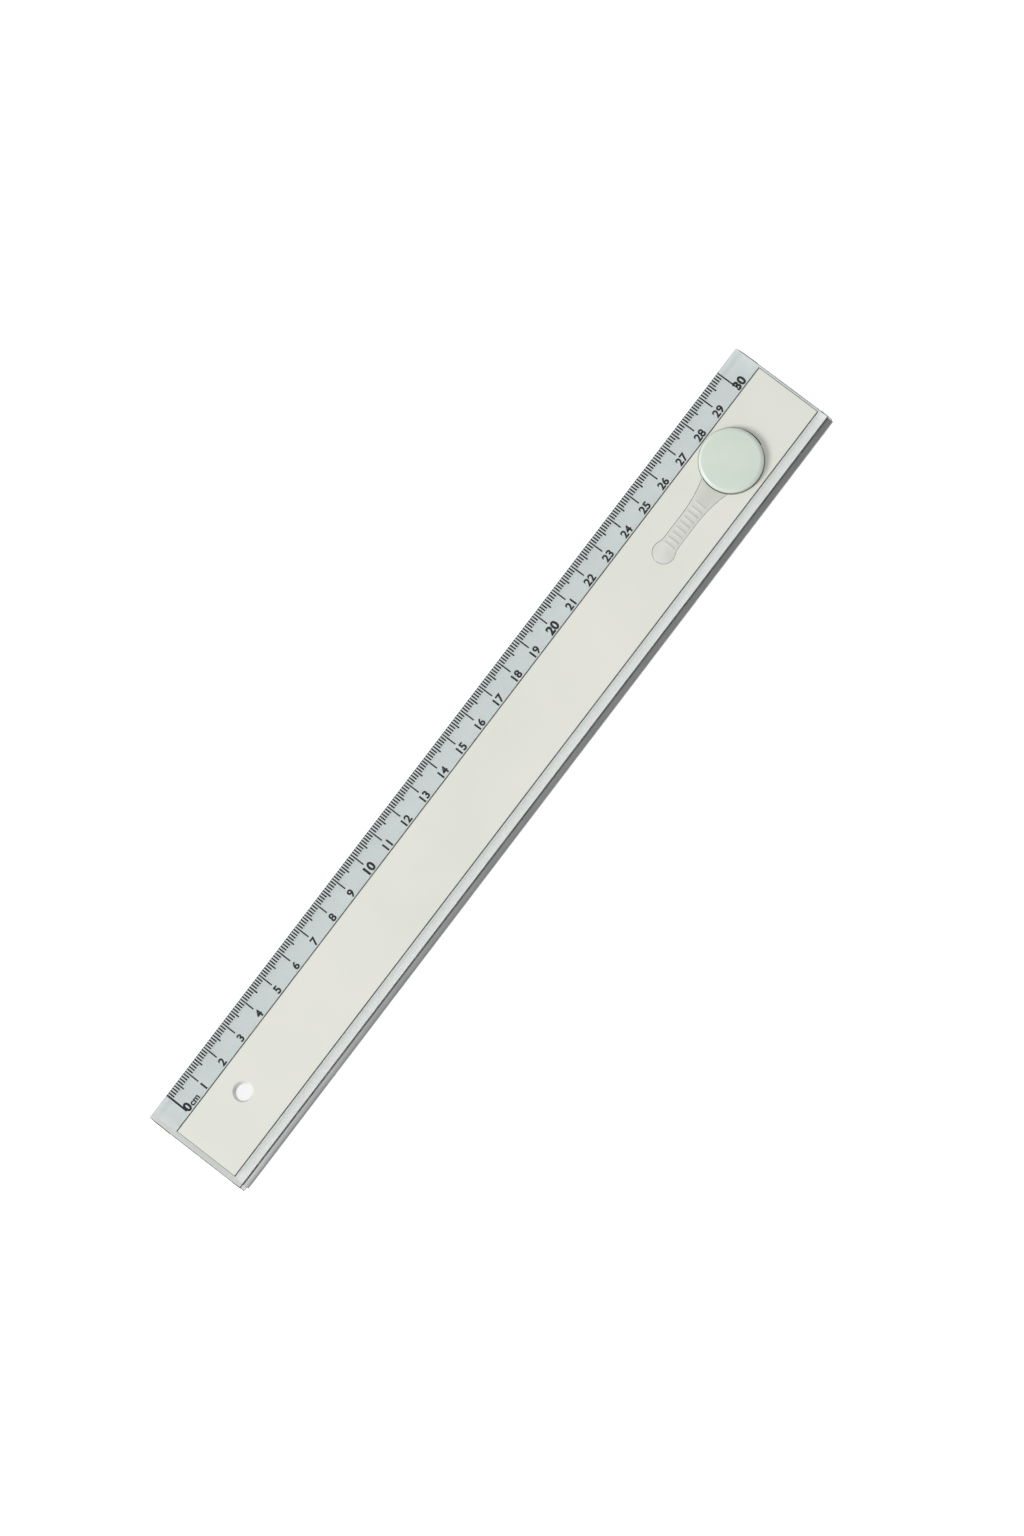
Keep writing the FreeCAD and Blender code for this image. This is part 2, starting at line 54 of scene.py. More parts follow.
def put(tree, kind, settings={}, sockets={}):
    """Adds a node, with its settings, and its sockets set or linked."""
    made = tree.nodes.new(kind)
    for name, value in settings.items():
        setattr(made, name, value)
    for name, value in sockets.items():
        if isinstance(value, bpy.types.NodeSocket):
            tree.links.new(value, made.inputs[name])
        else:
            made.inputs[name].default_value = value
    return made


def maths(tree, operation, *values):
    """One sum; each value is a number or a socket."""
    made = put(tree, "ShaderNodeMath", {"operation": operation}, dict(enumerate(values)))
    return made.outputs[0]


def ramp(tree, source, *stops):
    """A colour ramp through (place, grey) stops."""
    made = put(tree, "ShaderNodeValToRGB", sockets={0: source})
    points = made.color_ramp.elements
    while len(points) < len(stops):
        points.new(0.5)
    for point, (place, grey) in zip(points, stops):
        point.position = place
        point.color = (grey, grey, grey, 1)
    return made.outputs["Color"]


def between(tree, amount, low, high):
    """A colour between low and high, by amount."""
    made = put(tree, "ShaderNodeMix", {"data_type": "RGBA"})
    for place, value in ((0, amount), (6, low), (7, high)):
        if isinstance(value, bpy.types.NodeSocket):
            tree.links.new(value, made.inputs[place])
        elif place == 0:
            made.inputs[place].default_value = value
        else:
            made.inputs[place].default_value = (*value, 1)
    return made.outputs[2]


def effect(name, inputs, outputs):
    """An empty node group with its sockets; returns the tree, its inputs and its output node."""
    tree = bpy.data.node_groups.new(name, "ShaderNodeTree")
    for label, kind, value in inputs:
        socket = tree.interface.new_socket(label, in_out="INPUT", socket_type=kind)
        if value is not None:
            socket.default_value = value
    for label, kind in outputs:
        tree.interface.new_socket(label, in_out="OUTPUT", socket_type=kind)
    return tree, tree.nodes.new("NodeGroupInput").outputs, tree.nodes.new("NodeGroupOutput")


# Hair scratches: long thin lines in three crossing directions, broken up by a coarse cloud
scratch_tree, given, result = effect(
    "hair scratches",
    [
        ("Vector", "NodeSocketVector", None),
        ("Spacing", "NodeSocketFloat", 1200.0),
        ("Amount", "NodeSocketFloat", 0.5),
    ],
    [("Mask", "NodeSocketFloat")],
)
lines = []
for turn, stretch, seed in ((0.35, 0.018, 1.0), (-0.9, 0.03, 7.0), (1.3, 0.025, 13.0)):
    laid = put(
        scratch_tree,
        "ShaderNodeMapping",
        sockets={"Vector": given["Vector"], "Location": (seed, 0, 0), "Rotation": (0, 0, turn)},
    )
    drawn = put(
        scratch_tree,
        "ShaderNodeMapping",
        sockets={"Vector": laid.outputs[0], "Scale": (stretch, 1, 1)},
    )
    streak = put(
        scratch_tree,
        "ShaderNodeTexNoise",
        sockets={"Vector": drawn.outputs[0], "Scale": given["Spacing"], "Detail": 2.0, "Roughness": 0.6},
    )
    lines.append(ramp(scratch_tree, streak.outputs["Fac"], (0.66, 0.0), (0.72, 1.0), (0.76, 0.0)))
every = maths(scratch_tree, "MAXIMUM", maths(scratch_tree, "MAXIMUM", lines[0], lines[1]), lines[2])
cloud = put(
    scratch_tree, "ShaderNodeTexNoise", sockets={"Vector": given["Vector"], "Scale": 45.0, "Detail": 3.0}
)
where = ramp(scratch_tree, cloud.outputs["Fac"], (0.4, 0.0), (0.65, 1.0))
shown = maths(scratch_tree, "MULTIPLY", maths(scratch_tree, "MULTIPLY", every, where), given["Amount"])
scratch_tree.links.new(shown, result.inputs["Mask"])


def finish(name, colour, roughness, metallic=0.0):
    """A new material; returns it, its tree, its shader and the piece's own coordinates."""
    made = bpy.data.materials.new(name)
    made.use_nodes = True
    tree = made.node_tree
    shader = tree.nodes["Principled BSDF"]
    shader.inputs["Base Color"].default_value = (*colour, 1)
    shader.inputs["Roughness"].default_value = roughness
    shader.inputs["Metallic"].default_value = metallic
    place = put(tree, "ShaderNodeTexCoord").outputs["Object"]
    return made, tree, shader, place


def coloured(tree, shader, colour):
    """Feeds a colour to the shader."""
    tree.links.new(colour, shader.inputs["Base Color"])


def roughened(tree, shader, mask, low, high):
    """Feeds the shader a roughness that goes from low to high by the mask."""
    made = put(tree, "ShaderNodeMapRange", sockets={"Value": mask, "To Min": low, "To Max": high})
    tree.links.new(made.outputs[0], shader.inputs["Roughness"])


def scratches(tree, place, spacing, amount):
    """The mask of the hair scratches."""
    made = put(tree, "ShaderNodeGroup", {"node_tree": scratch_tree}, {"Vector": place})
    made.inputs["Spacing"].default_value = spacing
    made.inputs["Amount"].default_value = amount
    return made.outputs["Mask"]


def bumped(tree, shader, height, strength, depth, under=None):
    """Feeds a height to the shader's normal."""
    made = put(tree, "ShaderNodeBump", sockets={"Height": height, "Strength": strength, "Distance": depth})
    if under is not None:
        tree.links.new(under, made.inputs["Normal"])
    tree.links.new(made.outputs[0], shader.inputs["Normal"])
    return made.outputs[0]


def from_to(tree, value, nought, full):
    """0 where the value is nought, 1 where it is full."""
    made = put(tree, "ShaderNodeMapRange", sockets={"Value": value, "From Min": nought, "From Max": full})
    return made.outputs[0]


def from_axis(tree, place, x, y):
    """How far a point is from the upright axis through x, y."""
    moved = put(
        tree,
        "ShaderNodeMapping",
        sockets={"Vector": place, "Location": (-x, -y, 0), "Scale": (1, 1, 0)},
    )
    return put(tree, "ShaderNodeVectorMath", {"operation": "LENGTH"}, {0: moved.outputs[0]}).outputs["Value"]


def dressed(cad_name, material):
    """Gives a piece of the design its material and leaves its shape alone."""
    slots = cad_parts[cad_name].data.materials
    slots.clear()
    slots.append(material)


body_low, body_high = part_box("rule_body")
panel_low, panel_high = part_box("face_panel")
hole_x, hole_y, hole_radius = -134.0 * mm, 0.2 * mm, 3.0 * mm
clear, tree, shader, place = finish("clear moulded plastic", (0.66, 0.71, 0.70), 0.04)
shader.inputs["Transmission Weight"].default_value = 1.0
shader.inputs["IOR"].default_value = 1.49
spot = put(tree, "ShaderNodeSeparateXYZ", sockets={"Vector": place}).outputs

# Tint: thick under the panel, paler past its lower side. It is darker towards the scale, the zero end,
# the hole's wall and the scale's rim: painted shade of the clear plastic's edges and walls
haze = put(tree, "ShaderNodeTexNoise", sockets={"Vector": place, "Scale": 60.0, "Detail": 5.0})
thick = between(tree, haze.outputs["Fac"], (0.572, 0.623, 0.618), (0.636, 0.683, 0.674))
thin = between(tree, haze.outputs["Fac"], (0.74, 0.76, 0.745), (0.79, 0.805, 0.79))
past_panel = from_to(tree, spot["Y"], panel_low.y - 0.1 * mm, panel_low.y - 0.6 * mm)
scale_side_painted_shade = from_to(tree, spot["Y"], body_high.y - 3.6 * mm, body_high.y - 1.2 * mm)
zero_end_painted_shade = from_to(tree, spot["X"], body_low.x + 3.5 * mm, body_low.x + 1.5 * mm)
hole_wall_painted_shade = from_to(
    tree, from_axis(tree, place, hole_x, hole_y), hole_radius + 0.3 * mm, hole_radius + 0.05 * mm
)
scale_rim_painted_shade = from_to(tree, spot["Y"], body_high.y - 0.35 * mm, body_high.y - 0.15 * mm)
tint = between(tree, past_panel, thick, thin)
# Painted shade: darker towards the scale side, the zero end, the hole's wall and the scale's rim
tint = between(tree, scale_side_painted_shade, tint, (0.47, 0.51, 0.505))
tint = between(tree, zero_end_painted_shade, tint, (0.45, 0.46, 0.445))
tint = between(tree, maths(tree, "MAXIMUM", hole_wall_painted_shade, scale_rim_painted_shade), tint, (0.27, 0.30, 0.29))
coloured(tree, shader, tint)

# Roughness: hair scratches on the polish, and the frosted floor under the panel
marks = scratches(tree, place, 1500.0, 0.8)
dulled = put(tree, "ShaderNodeMapRange", sockets={"Value": marks, "To Min": 0.03, "To Max": 0.3})
centre_y = (panel_low.y + panel_high.y) / 2
half_panel = (panel_high.y - panel_low.y) / 2
aside = maths(tree, "ABSOLUTE", maths(tree, "SUBTRACT", spot["Y"], centre_y))
within_panel = from_to(tree, aside, half_panel + 0.4 * mm, half_panel)
below = from_to(tree, spot["Z"], panel_low.z + 0.1 * mm, panel_low.z)
above = from_to(tree, spot["Z"], panel_low.z - 0.2 * mm, panel_low.z - 0.1 * mm)
on_floor = maths(tree, "MULTIPLY", maths(tree, "MULTIPLY", below, above), within_panel)
frosted = maths(tree, "MULTIPLY", on_floor, 0.8)
rough = maths(tree, "MAXIMUM", dulled.outputs[0], frosted)
tree.links.new(rough, shader.inputs["Roughness"])

wave = put(tree, "ShaderNodeTexNoise", sockets={"Vector": place, "Scale": 90.0, "Detail": 1.0})
flowing = bumped(tree, shader, wave.outputs["Fac"], 0.05, 0.02 * mm)
bumped(tree, shader, marks, 0.3, 0.004 * mm, flowing)
dressed("rule_body", clear)


# ---------------------------------------------------------------------------------------------------
# The scale: black screen-printed ink on the body's bevel. Ticks stand every millimetre, longer at the
# five and the centimetre; the numerals sit below the centimetre ticks.

bevel_foot = Vector((0, body_high.y - 0.2 * mm, body_low.z + 1.2 * mm))
bevel_head = Vector((0, body_high.y - 10.1 * mm, body_high.z))
bevel_rise = (bevel_head.z - bevel_foot.z) / (bevel_foot.y - bevel_head.y)
zero_x = -150.5 * mm

ink, tree, shader, place = finish("printed ink", (0.02, 0.021, 0.023), 0.55)
shader.inputs["Specular IOR Level"].default_value = 0.25
worn = put(
    tree,
    "ShaderNodeTexNoise",
    sockets={"Vector": place, "Scale": 1800.0, "Detail": 4.0, "Roughness": 0.7},
)
tone = ramp(tree, worn.outputs["Fac"], (0.45, 0.0), (0.75, 1.0))
coloured(tree, shader, between(tree, tone, (0.012, 0.013, 0.015), (0.045, 0.047, 0.05)))
bumped(tree, shader, worn.outputs["Fac"], 0.4, 0.004 * mm)

ticks = bpy.data.node_groups.new("scale ticks", "GeometryNodeTree")
for label, kind in (
    ("Ticks", "NodeSocketInt"),
    ("Pitch", "NodeSocketFloat"),
    ("First tick", "NodeSocketFloat"),
    ("Edge", "NodeSocketFloat"),
    ("Millimetre", "NodeSocketFloat"),
    ("Five millimetres", "NodeSocketFloat"),
    ("Centimetre", "NodeSocketFloat"),
    ("End tick", "NodeSocketFloat"),
    ("Fine width", "NodeSocketFloat"),
    ("Bold width", "NodeSocketFloat"),
    ("Zero width", "NodeSocketFloat"),
    ("Film", "NodeSocketFloat"),
    ("Foot height", "NodeSocketFloat"),
    ("Rise", "NodeSocketFloat"),
    ("Ink", "NodeSocketMaterial"),
):
    ticks.interface.new_socket(label, in_out="INPUT", socket_type=kind)
ticks.interface.new_socket("Geometry", in_out="OUTPUT", socket_type="NodeSocketGeometry")
size = ticks.nodes.new("NodeGroupInput").outputs
out = ticks.nodes.new("NodeGroupOutput")

number = put(ticks, "GeometryNodeInputIndex").outputs[0]


def every_nth(step, yes, no):
    """yes on every nth tick, no on the others."""
    left = maths(ticks, "MODULO", number, step)
    hit = maths(ticks, "LESS_THAN", left, 0.5)
    chosen = put(ticks, "GeometryNodeSwitch", {"input_type": "FLOAT"})
    ticks.links.new(hit, chosen.inputs["Switch"])
    for label, value in (("True", yes), ("False", no)):
        ticks.links.new(value, chosen.inputs[label])
    return chosen.outputs[0]


length = every_nth(5.0, size["Five millimetres"], size["Millimetre"])
length = every_nth(10.0, size["Centimetre"], length)
last = maths(ticks, "SUBTRACT", size["Ticks"], 1.0)
length = every_nth(last, size["End tick"], length)
width = every_nth(10.0, size["Bold width"], size["Fine width"])
width = every_nth(size["Ticks"], size["Zero width"], width)
start = put(ticks, "ShaderNodeCombineXYZ", sockets={"X": size["First tick"], "Y": size["Edge"]})
step = put(ticks, "ShaderNodeCombineXYZ", sockets={"X": size["Pitch"]})
row = put(
    ticks,
    "GeometryNodeMeshLine",
    {"mode": "OFFSET"},
    {"Count": size["Ticks"], "Start Location": start.outputs[0], "Offset": step.outputs[0]},
)
bar = put(ticks, "GeometryNodeMeshCube", sockets={"Size": (1, 1, 1), "Vertices Y": 3})
moved = put(
    ticks,
    "GeometryNodeTransform",
    sockets={"Geometry": bar.outputs["Mesh"], "Translation": (0, -0.5, 0)},
)
shape = put(ticks, "ShaderNodeCombineXYZ", sockets={"X": width, "Y": length, "Z": size["Film"]})
stood = put(
    ticks,
    "GeometryNodeInstanceOnPoints",
    sockets={"Points": row.outputs[0], "Instance": moved.outputs[0], "Scale": shape.outputs[0]},
)
real = put(ticks, "GeometryNodeRealizeInstances", sockets={"Geometry": stood.outputs[0]})
spot = put(ticks, "GeometryNodeInputPosition")
parts = put(ticks, "ShaderNodeSeparateXYZ", sockets={"Vector": spot.outputs[0]})
down = maths(ticks, "SUBTRACT", size["Edge"], parts.outputs["Y"])
climb = maths(ticks, "MULTIPLY_ADD", down, size["Rise"], size["Foot height"])
lift = put(ticks, "ShaderNodeCombineXYZ", sockets={"Z": climb})
draped = put(
    ticks, "GeometryNodeSetPosition", sockets={"Geometry": real.outputs[0], "Offset": lift.outputs[0]}
)
inked = put(
    ticks, "GeometryNodeSetMaterial", sockets={"Geometry": draped.outputs[0], "Material": size["Ink"]}
)
ticks.links.new(inked.outputs[0], out.inputs[0])


def grown(name, tree, values):
    """Runs a geometry tree on an empty mesh and returns its result as a plain mesh object."""
    holder = bpy.data.objects.new(name, bpy.data.meshes.new(name))
    bpy.context.scene.collection.objects.link(holder)
    modifier = holder.modifiers.new("made", "NODES")
    modifier.node_group = tree
    for item in tree.interface.items_tree:
        if item.item_type == "SOCKET" and item.in_out == "INPUT":
            modifier[item.identifier] = values[item.name]
    seen = bpy.context.evaluated_depsgraph_get()
    made = bpy.data.meshes.new_from_object(holder.evaluated_get(seen))
    holder.modifiers.clear()
    holder.data = made
    made.name = name
    return holder


ink_film = 0.014 * mm
ink_gap = 0.004 * mm
graduations = grown(
    "scale_graduations",
    ticks,
    {
        "Ticks": 301,
        "Pitch": 1.0 * mm,
        "First tick": zero_x,
        "Edge": bevel_foot.y,
        "Millimetre": 2.5 * mm,
        "Five millimetres": 3.5 * mm,
        "Centimetre": 5.9 * mm,
        "End tick": 9.0 * mm,
        "Fine width": 0.54 * mm,
        "Bold width": 0.5 * mm,
        "Zero width": 0.7 * mm,
        "Film": ink_film,
        "Foot height": bevel_foot.z + ink_gap + ink_film / 2,
        "Rise": bevel_rise,
        "Ink": ink,
    },
)
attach(graduations, "rail")


def lettered(text, height, x, y_foot, weight):
    """A mesh of one printed number, standing on y_foot and centred on x, draped on the bevel."""
    curve = bpy.data.curves.new(text, "FONT")
    curve.body = text
    curve.align_x = "CENTER"
    curve.offset = weight
    curve.extrude = 0.01
    curve.resolution_u = 5
    written = bpy.data.objects.new(text, curve)
    bpy.context.scene.collection.objects.link(written)
    mesh = bpy.data.meshes.new_from_object(written.evaluated_get(bpy.context.evaluated_depsgraph_get()))
    bpy.data.objects.remove(written)
    tall = max(v.co.y for v in mesh.vertices)
    for v in mesh.vertices:
        flat_x = x + v.co.x * height / tall
        flat_y = y_foot + v.co.y * height / tall
        surface = bevel_foot.z + (bevel_foot.y - flat_y) * bevel_rise
        film = ink_film if v.co.z > 0 else 0.0
        v.co = (flat_x, flat_y, surface + ink_gap + film)
    return mesh


def new_piece(name, shape, material):
    """Turns a finished shape into an object of that material."""
    mesh = bpy.data.meshes.new(name)
    shape.to_mesh(mesh)
    shape.free()
    mesh.materials.append(material)
    piece = bpy.data.objects.new(name, mesh)
    bpy.context.scene.collection.objects.link(piece)
    return piece


foot_y = body_high.y - 10.0 * mm
centimetre_pitch = 10.0 * mm
beside_end_tick = {0: 1.2 * mm, 30: 1.6 * mm}
prints = [("cm", 1.6 * mm, 4.5 * mm, 0.035)]
for centimetre in range(31):
    tens = centimetre % 10 == 0
    height = 3.3 * mm if tens else 2.9 * mm
    along_scale = centimetre * centimetre_pitch + beside_end_tick.get(centimetre, 0.0)
    prints.append((str(centimetre), height, along_scale, 0.045 if tens else 0.035))
numerals = bmesh.new()
for text, height, along_scale, weight in prints:
    mesh = lettered(text, height, zero_x + along_scale, foot_y, weight)
    numerals.from_mesh(mesh)
    bpy.data.meshes.remove(mesh)
scale_numerals = new_piece("scale_numerals", numerals, ink)
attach(scale_numerals, "rail")


# ---------------------------------------------------------------------------------------------------
# The face panel: off-white sheet plastic, stamped out, bonded into the body's recess. Its surface has
# the fine even tooth of matte sheet and the slight mottle of age.

grain_tree, given, result = effect(
    "moulded grain",
    [
        ("Vector", "NodeSocketVector", None),
        ("Grain", "NodeSocketFloat", 3000.0),
        ("Mottle", "NodeSocketFloat", 40.0),
    ],
    [("Height", "NodeSocketFloat"), ("Cloud", "NodeSocketFloat")],
)
tooth = put(
    grain_tree,
    "ShaderNodeTexNoise",
    sockets={"Vector": given["Vector"], "Scale": given["Grain"], "Detail": 3.0, "Roughness": 0.6},
)
pits = put(grain_tree, "ShaderNodeTexVoronoi", sockets={"Vector": given["Vector"], "Scale": given["Grain"]})
height = maths(grain_tree, "MULTIPLY_ADD", pits.outputs["Distance"], 0.5, tooth.outputs["Fac"])
cloudy = put(
    grain_tree,
    "ShaderNodeTexNoise",
    sockets={"Vector": given["Vector"], "Scale": given["Mottle"], "Detail": 4.0, "Roughness": 0.55},
)
spread = ramp(grain_tree, cloudy.outputs["Fac"], (0.3, 0.0), (0.7, 1.0))
grain_tree.links.new(height, result.inputs["Height"])
grain_tree.links.new(spread, result.inputs["Cloud"])


def grained(tree, place, grain, mottle):
    """The height and the mottle of a moulded surface."""
    made = put(tree, "ShaderNodeGroup", {"node_tree": grain_tree}, {"Vector": place})
    made.inputs["Grain"].default_value = grain
    made.inputs["Mottle"].default_value = mottle
    return made.outputs["Height"], made.outputs["Cloud"]


off_white, tree, shader, place = finish("off-white sheet", (0.62, 0.63, 0.57), 0.5)
height, cloud = grained(tree, place, 2600.0, 28.0)
coloured(tree, shader, between(tree, cloud, (0.655, 0.67, 0.602), (0.695, 0.692, 0.635)))
roughened(tree, shader, scratches(tree, place, 1300.0, 1.0), 0.52, 0.36)
bumped(tree, shader, height, 0.35, 0.01 * mm)
dressed("face_panel", off_white)


# ---------------------------------------------------------------------------------------------------
# The bond line: milky solvent cement that was squeezed up all round the panel and wiped off, so that it
# stands a little low in the joint with a hollow top. The hollow is darkened as painted shade of the gap.

cement, tree, shader, place = finish("joint cement", (0.60, 0.63, 0.61), 0.5)
height, cloud = grained(tree, place, 1800.0, 260.0)
milky = between(tree, cloud, (0.58, 0.61, 0.59), (0.64, 0.67, 0.65))
# Painted shade of the joint's gap, laid in the cement's hollow top
joint_gap_painted_shade = between(tree, cloud, (0.05, 0.052, 0.048), (0.11, 0.11, 0.10))
spot = put(tree, "ShaderNodeSeparateXYZ", sockets={"Vector": place}).outputs
hollow_shade_mask = from_to(tree, spot["Z"], panel_high.z - 0.3 * mm, panel_high.z - 0.2 * mm)
coloured(tree, shader, between(tree, hollow_shade_mask, milky, joint_gap_painted_shade))
bumped(tree, shader, height, 0.5, 0.02 * mm)

side_gap, end_gap = 0.4 * mm, 0.15 * mm
skin = 0.02 * mm  # left between the cement and its neighbours
below_face = 0.08 * mm
bead_low = panel_low.z + skin
bead_top = panel_high.z - below_face
hollow = 0.1 * mm
hollow_steps = 6
section = [(0.0, bead_low)]
for step_across in range(hollow_steps + 1):
    share = step_across / hollow_steps
    section.append((share, bead_top - hollow * math.sin(math.pi * share)))
section.append((1.0, bead_low))
bead = bmesh.new()
rings = []
for share, z in section:
    out_x = skin + share * (end_gap - 2 * skin)
    out_y = skin + share * (side_gap - 2 * skin)
    x0, x1 = panel_low.x - out_x, panel_high.x + out_x
    y0, y1 = panel_low.y - out_y, panel_high.y + out_y
    rings.append([bead.verts.new((x, y, z)) for x, y in ((x0, y0), (x1, y0), (x1, y1), (x0, y1))])
for inner, outer in zip(rings, rings[1:] + rings[:1]):
    for corner in range(4):
        after = (corner + 1) % 4
        bead.faces.new((inner[corner], outer[corner], outer[after], inner[after]))
bmesh.ops.recalc_face_normals(bead, faces=bead.faces)
bond_line = new_piece("panel_bond_line", bead, cement)
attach(bond_line, "rail")


# ---------------------------------------------------------------------------------------------------
# The steel edge: hardened ruling strip, ground along its length and blued, moulded into the side of
# the body that the pen and the knife run along.


def softened(name, cad_name, body, material, width, segments=3):
    """The design's piece with its edges rounded over and its round faces smooth."""
    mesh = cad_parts[cad_name].data.copy()
    shape = bmesh.new()
    shape.from_mesh(mesh)
    bmesh.ops.remove_doubles(shape, verts=shape.verts, dist=0.0005 * mm)
    bmesh.ops.dissolve_limit(shape, angle_limit=math.radians(0.5), verts=shape.verts, edges=shape.edges)
    shape.to_mesh(mesh)
    shape.free()
    mesh.name = name
    mesh.materials.clear()
    mesh.materials.append(material)
    piece = bpy.data.objects.new(name, mesh)
    bpy.context.scene.collection.objects.link(piece)
    rounding = piece.modifiers.new("rounded edges", "BEVEL")
    rounding.width = width
    rounding.segments = segments
    rounding.limit_method = "ANGLE"
    rounding.angle_limit = math.radians(35)
    rounding.harden_normals = False
    rounding.use_clamp_overlap = True
    seen = bpy.context.evaluated_depsgraph_get()
    done = bpy.data.meshes.new_from_object(piece.evaluated_get(seen))
    piece.modifiers.clear()
    piece.data = done
    done.polygons.foreach_set("use_smooth", [True] * len(done.polygons))
    done.set_sharp_from_angle(angle=math.radians(32))
    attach(piece, body)
    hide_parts(cad_name)


blued, tree, shader, place = finish("ground blued steel", (0.29, 0.295, 0.30), 0.35, 1.0)
along = put(tree, "ShaderNodeMapping", sockets={"Vector": place, "Scale": (0.02, 1, 1)})
ground = put(
    tree, "ShaderNodeTexNoise", sockets={"Vector": along.outputs[0], "Scale": 9000.0, "Detail": 3.0}
)
patches = put(tree, "ShaderNodeTexNoise", sockets={"Vector": place, "Scale": 120.0, "Detail": 4.0})
coloured(tree, shader, between(tree, patches.outputs["Fac"], (0.225, 0.231, 0.24), (0.31, 0.31, 0.305)))
roughened(tree, shader, ground.outputs["Fac"], 0.35, 0.6)
bumped(tree, shader, ground.outputs["Fac"], 0.3, 0.004 * mm)
softened("steel_ruling_edge", "steel_edge", "rail", blued, 0.06 * mm, 2)


# ---------------------------------------------------------------------------------------------------
# The brake lever: light grey acetal moulding, pivoted in its round tail. Cross ribs on the tail give
# the finger a grip. The groove round the button is darkened as painted shade.

grey, tree, shader, place = finish("light grey acetal", (0.53, 0.54, 0.495), 0.5)
height, cloud = grained(tree, place, 2200.0, 140.0)
plain = between(tree, cloud, (0.565, 0.575, 0.525), (0.615, 0.62, 0.575))
cap_low, cap_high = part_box("button_cap")
middle = (cap_low + cap_high) / 2
groove_radius = 11.2 * mm
groove_floor = cap_low.z
from_button = from_axis(tree, place, middle.x, middle.y)
round_button = from_to(tree, from_button, groove_radius + 0.2 * mm, groove_radius)
spot = put(tree, "ShaderNodeSeparateXYZ", sockets={"Vector": place}).outputs
low_down = from_to(tree, spot["Z"], groove_floor + 0.2 * mm, groove_floor + 0.1 * mm)
groove_painted_shade = maths(tree, "MULTIPLY", round_button, low_down)
# Painted shade: the lever's seat in the groove round the button is darkened
coloured(tree, shader, between(tree, groove_painted_shade, plain, (0.27, 0.27, 0.25)))
bumped(tree, shader, height, 0.4, 0.012 * mm)
softened("brake_lever_arm", "brake_lever", "lever", grey, 0.05 * mm, 2)


# ---------------------------------------------------------------------------------------------------
# The button: mint-green gloss moulding with a rounded shoulder. It is pressed on the lever's stub, and
# its skirt rests on the lever's seat.

mint, tree, shader, place = finish("mint green plastic", (0.535, 0.60, 0.53), 0.3)
height, cloud = grained(tree, place, 1800.0, 90.0)
coloured(tree, shader, between(tree, cloud, (0.56, 0.64, 0.565), (0.60, 0.665, 0.59)))
roughened(tree, shader, scratches(tree, place, 1400.0, 1.0), 0.28, 0.5)
bumped(tree, shader, height, 0.15, 0.008 * mm)
softened("button_cap_face", "button_cap", "lever", mint, 0.08 * mm, 2)


# ---------------------------------------------------------------------------------------------------
# The pivot pin: polished steel pin stock, cut to length. It lies in the body's groove through the
# lever's tail and is held down by the panel.

bright, tree, shader, place = finish("polished pin stock", (0.55, 0.56, 0.57), 0.18, 1.0)
across = put(tree, "ShaderNodeMapping", sockets={"Vector": place, "Scale": (1, 0.05, 1)})
drawn = put(
    tree, "ShaderNodeTexNoise", sockets={"Vector": across.outputs[0], "Scale": 8000.0, "Detail": 2.0}
)
roughened(tree, shader, drawn.outputs["Fac"], 0.1, 0.32)
bumped(tree, shader, drawn.outputs["Fac"], 0.2, 0.002 * mm)
softened("lever_pivot_pin", "lever_pin", "rail", bright, 0.15 * mm, 3)


# ---------------------------------------------------------------------------------------------------
# The brake slider: dark acetal bar that runs in the body's channel, with the jaw that reaches down into
# the board's groove.

dark, tree, shader, place = finish("dark acetal", (0.045, 0.046, 0.05), 0.45)
height, cloud = grained(tree, place, 2400.0, 200.0)
coloured(tree, shader, between(tree, cloud, (0.038, 0.039, 0.043), (0.06, 0.061, 0.066)))
bumped(tree, shader, height, 0.4, 0.012 * mm)
softened("brake_slider_bar", "brake_slider", "slider", dark, 0.08 * mm, 2)


# ---------------------------------------------------------------------------------------------------
# The brake pad: a block of black rubber, cut from sheet and bonded to the jaw's outer face. It is what
# grips the groove's wall.

rubber, tree, shader, place = finish("black rubber", (0.02, 0.02, 0.021), 0.75)
height, cloud = grained(tree, place, 1500.0, 400.0)
coloured(tree, shader, between(tree, cloud, (0.016, 0.016, 0.017), (0.035, 0.034, 0.033)))
bumped(tree, shader, height, 0.5, 0.02 * mm)
softened("brake_rubber_pad", "brake_pad", "slider", rubber, 0.12 * mm, 3)


# ---------------------------------------------------------------------------------------------------
# The brake spring: a coil of hard-drawn steel wire, bright as the pin. It is held between the body's
# post and the end of the slider's window.

dressed("brake_spring", bright)


# ---------------------------------------------------------------------------------------------------
# The guide feet: dark acetal ribs under both ends, which run in the board's grooves. Each is held by two
# turned brass cheese-head screws.

brass, tree, shader, place = finish("turned brass", (0.62, 0.44, 0.17), 0.3, 1.0)
turned = put(tree, "ShaderNodeTexNoise", sockets={"Vector": place, "Scale": 6000.0, "Detail": 3.0})
coloured(tree, shader, between(tree, turned.outputs["Fac"], (0.50, 0.34, 0.12), (0.70, 0.52, 0.22)))
bumped(tree, shader, turned.outputs["Fac"], 0.2, 0.004 * mm)
for end in ("zero", "brake"):
    softened(f"guide_rib_{end}", f"guide_foot_{end}", "rail", dark, 0.15 * mm, 3)
for number_of_screw in range(1, 5):
    name = f"foot_screw_{number_of_screw}"
    softened(f"brass_{name}", name, "rail", brass, 0.05 * mm, 2)


# ---------------------------------------------------------------------------------------------------
# The glide pads: discs of white waxy plastic, pressed into seats in the underside. They stand a little
# proud, so that the rule slides on them over the sheet.

